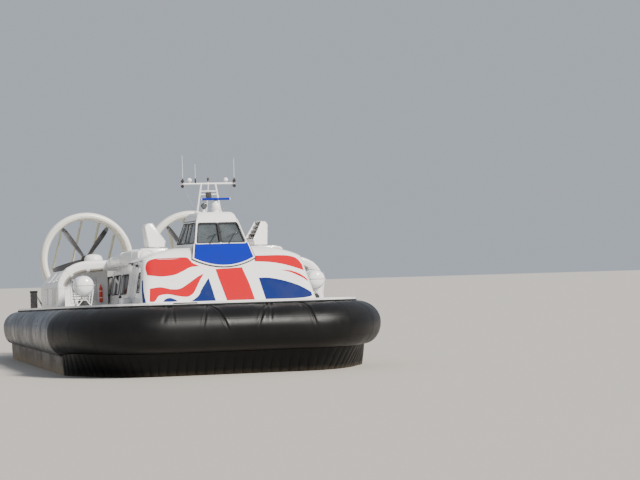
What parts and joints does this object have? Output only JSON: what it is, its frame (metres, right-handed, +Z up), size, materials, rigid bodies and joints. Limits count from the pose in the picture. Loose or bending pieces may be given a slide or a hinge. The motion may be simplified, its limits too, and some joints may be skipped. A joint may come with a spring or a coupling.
{
  "type": "passenger hovercraft",
  "caption": "Passenger hovercraft on an inflated skirt, with a sloped cabin front, a wheelhouse with mast, swivelling bow thrusters and ducted propellers with rudders.",
  "frame": {"origin": "on the ground under the middle of the craft's outer box", "axes": "+Y towards the stern, +X to port, +Z up"},
  "size_m": [12.6678, 23.838, 8.07],
  "materials": {
    "skirt": "satin coated fabric",
    "finger_side": "matt, sand-stained",
    "hull": "matt",
    "deck": "matt anti-slip",
    "white_paint": "gloss",
    "flag_paint": "gloss",
    "blue_paint": "gloss",
    "cream_paint": "gloss",
    "window": "tinted",
    "seat_fabric": "woven",
    "grey_paint": "satin",
    "blade": "satin composite",
    "lamp_body": "satin",
    "raft_shell": "gloss"
  },
  "bodies": {
    "craft": {"hull_raft": "hull", "deck_plate": "deck", "deck_rail": "white_paint", "bow_bag": "skirt", "stern_bag": "skirt", "bow_fingers": "skirt", "stern_fingers": "finger_side", "side_bag_port": "skirt", "side_bag_starboard": "skirt", "side_fingers_port": "finger_side", "side_fingers_starboard": "finger_side", "cabin_nose": "flag_paint", "cabin_roof": "white_paint", "cabin_aft_wall": "white_paint", "cabin_side_port": "white_paint", "cabin_side_starboard": "white_paint", "side_glazing_port": "window", "side_glazing_starboard": "window", "seats_port": "seat_fabric", "seats_starboard": "seat_fabric", "chin_panel": "blue_paint", "wheelhouse_walls": "white_paint", "wheelhouse_roof": "white_paint", "wheelhouse_glazing": "window", "helm_console": "grey_paint", "mast": "white_paint", "radar_pedestal": "white_paint", "searchlight_stand": "white_paint", "air_trunk_port": "white_paint", "air_trunk_starboard": "white_paint", "duct_port": "cream_paint", "duct_starboard": "cream_paint", "fan_module_port": "white_paint", "fan_module_starboard": "white_paint", "engine_block_port": "grey_paint", "engine_block_starboard": "grey_paint", "life_raft_port": "raft_shell", "life_raft_starboard": "raft_shell", "raft_cradle_port": "white_paint", "raft_cradle_starboard": "white_paint", "fender_board_port": "grey_paint", "fender_board_starboard": "grey_paint", "aft_casing": "white_paint"},
    "cabin_door_port": {"cabin_door_port": "white_paint"},
    "cabin_door_starboard": {"cabin_door_starboard": "white_paint"},
    "bow_thruster_port": {"bow_thruster_port": "white_paint"},
    "bow_thruster_starboard": {"bow_thruster_starboard": "white_paint"},
    "propeller_port": {"propeller_port": "blade"},
    "propeller_starboard": {"propeller_starboard": "blade"},
    "radar_scanner": {"radar_scanner": "blue_paint"},
    "searchlight": {"searchlight": "lamp_body"},
    "rudder_port_1": {"rudder_port_1": "cream_paint"},
    "rudder_port_2": {"rudder_port_2": "cream_paint"},
    "rudder_port_3": {"rudder_port_3": "cream_paint"},
    "rudder_port_4": {"rudder_port_4": "cream_paint"},
    "rudder_starboard_1": {"rudder_starboard_1": "cream_paint"},
    "rudder_starboard_2": {"rudder_starboard_2": "cream_paint"},
    "rudder_starboard_3": {"rudder_starboard_3": "cream_paint"},
    "rudder_starboard_4": {"rudder_starboard_4": "cream_paint"}
  },
  "joints": [
    {"name": "propeller_port_spin", "type": "hinge", "parent": "craft", "child": "propeller_port", "pos_m": [2.379, 8.8, 4.329], "axis": [0, 1, 0], "continuous": true},
    {"name": "rudder_port_1_turn", "type": "hinge", "parent": "craft", "child": "rudder_port_1", "pos_m": [3.5434, 9.88, 4.6193], "axis": [-0.2419, 0, 0.9703], "range_deg": [-30, 30]},
    {"name": "rudder_port_2_turn", "type": "hinge", "parent": "craft", "child": "rudder_port_2", "pos_m": [2.7671, 9.88, 4.4258], "axis": [-0.2419, 0, 0.9703], "range_deg": [-30, 30]},
    {"name": "rudder_port_3_turn", "type": "hinge", "parent": "craft", "child": "rudder_port_3", "pos_m": [1.9909, 9.88, 4.2322], "axis": [-0.2419, 0, 0.9703], "range_deg": [-30, 30]},
    {"name": "rudder_port_4_turn", "type": "hinge", "parent": "craft", "child": "rudder_port_4", "pos_m": [1.2146, 9.88, 4.0387], "axis": [-0.2419, 0, 0.9703], "range_deg": [-30, 30]},
    {"name": "bow_thruster_port_turn", "type": "hinge", "parent": "craft", "child": "bow_thruster_port", "pos_m": [1.96, -5.78, 4.6086], "axis": [0, 0, 1], "range_deg": [-146, 94]},
    {"name": "cabin_door_port_swing", "type": "hinge", "parent": "craft", "child": "cabin_door_port", "pos_m": [3.235, -8.06, 2.583], "axis": [-0.1628, 0, 0.9867], "range_deg": [0, 100]},
    {"name": "propeller_starboard_spin", "type": "hinge", "parent": "craft", "child": "propeller_starboard", "pos_m": [-2.379, 8.8, 4.329], "axis": [0, 1, 0], "continuous": true},
    {"name": "rudder_starboard_1_turn", "type": "hinge", "parent": "craft", "child": "rudder_starboard_1", "pos_m": [-3.5434, 9.88, 4.6193], "axis": [0.2419, 0, 0.9703], "range_deg": [-30, 30]},
    {"name": "rudder_starboard_2_turn", "type": "hinge", "parent": "craft", "child": "rudder_starboard_2", "pos_m": [-2.7671, 9.88, 4.4258], "axis": [0.2419, 0, 0.9703], "range_deg": [-30, 30]},
    {"name": "rudder_starboard_3_turn", "type": "hinge", "parent": "craft", "child": "rudder_starboard_3", "pos_m": [-1.9909, 9.88, 4.2322], "axis": [0.2419, 0, 0.9703], "range_deg": [-30, 30]},
    {"name": "rudder_starboard_4_turn", "type": "hinge", "parent": "craft", "child": "rudder_starboard_4", "pos_m": [-1.2146, 9.88, 4.0387], "axis": [0.2419, 0, 0.9703], "range_deg": [-30, 30]},
    {"name": "bow_thruster_starboard_turn", "type": "hinge", "parent": "craft", "child": "bow_thruster_starboard", "pos_m": [-1.96, -5.78, 4.6086], "axis": [0, 0, 1], "range_deg": [-126, 114]},
    {"name": "cabin_door_starboard_swing", "type": "hinge", "parent": "craft", "child": "cabin_door_starboard", "pos_m": [-3.235, -8.06, 2.583], "axis": [-0.1628, 0, -0.9867], "range_deg": [0, 100]},
    {"name": "radar_scanner_spin", "type": "hinge", "parent": "craft", "child": "radar_scanner", "pos_m": [0.12, -7.18, 6.36], "axis": [0, 0, 1], "continuous": true},
    {"name": "searchlight_turn", "type": "hinge", "parent": "craft", "child": "searchlight", "pos_m": [-0.33, -7.13, 6.01], "axis": [0, 0, 1], "range_deg": [-170, 170]}
  ],
  "couplings": [
    {"joint": "rudder_port_1_turn", "follows": "rudder_port_2_turn", "ratio": 1},
    {"joint": "rudder_port_3_turn", "follows": "rudder_port_2_turn", "ratio": 1},
    {"joint": "rudder_port_4_turn", "follows": "rudder_port_2_turn", "ratio": 1},
    {"joint": "rudder_starboard_1_turn", "follows": "rudder_port_2_turn", "ratio": 1},
    {"joint": "rudder_starboard_2_turn", "follows": "rudder_port_2_turn", "ratio": 1},
    {"joint": "rudder_starboard_3_turn", "follows": "rudder_port_2_turn", "ratio": 1},
    {"joint": "rudder_starboard_4_turn", "follows": "rudder_port_2_turn", "ratio": 1}
  ]
}
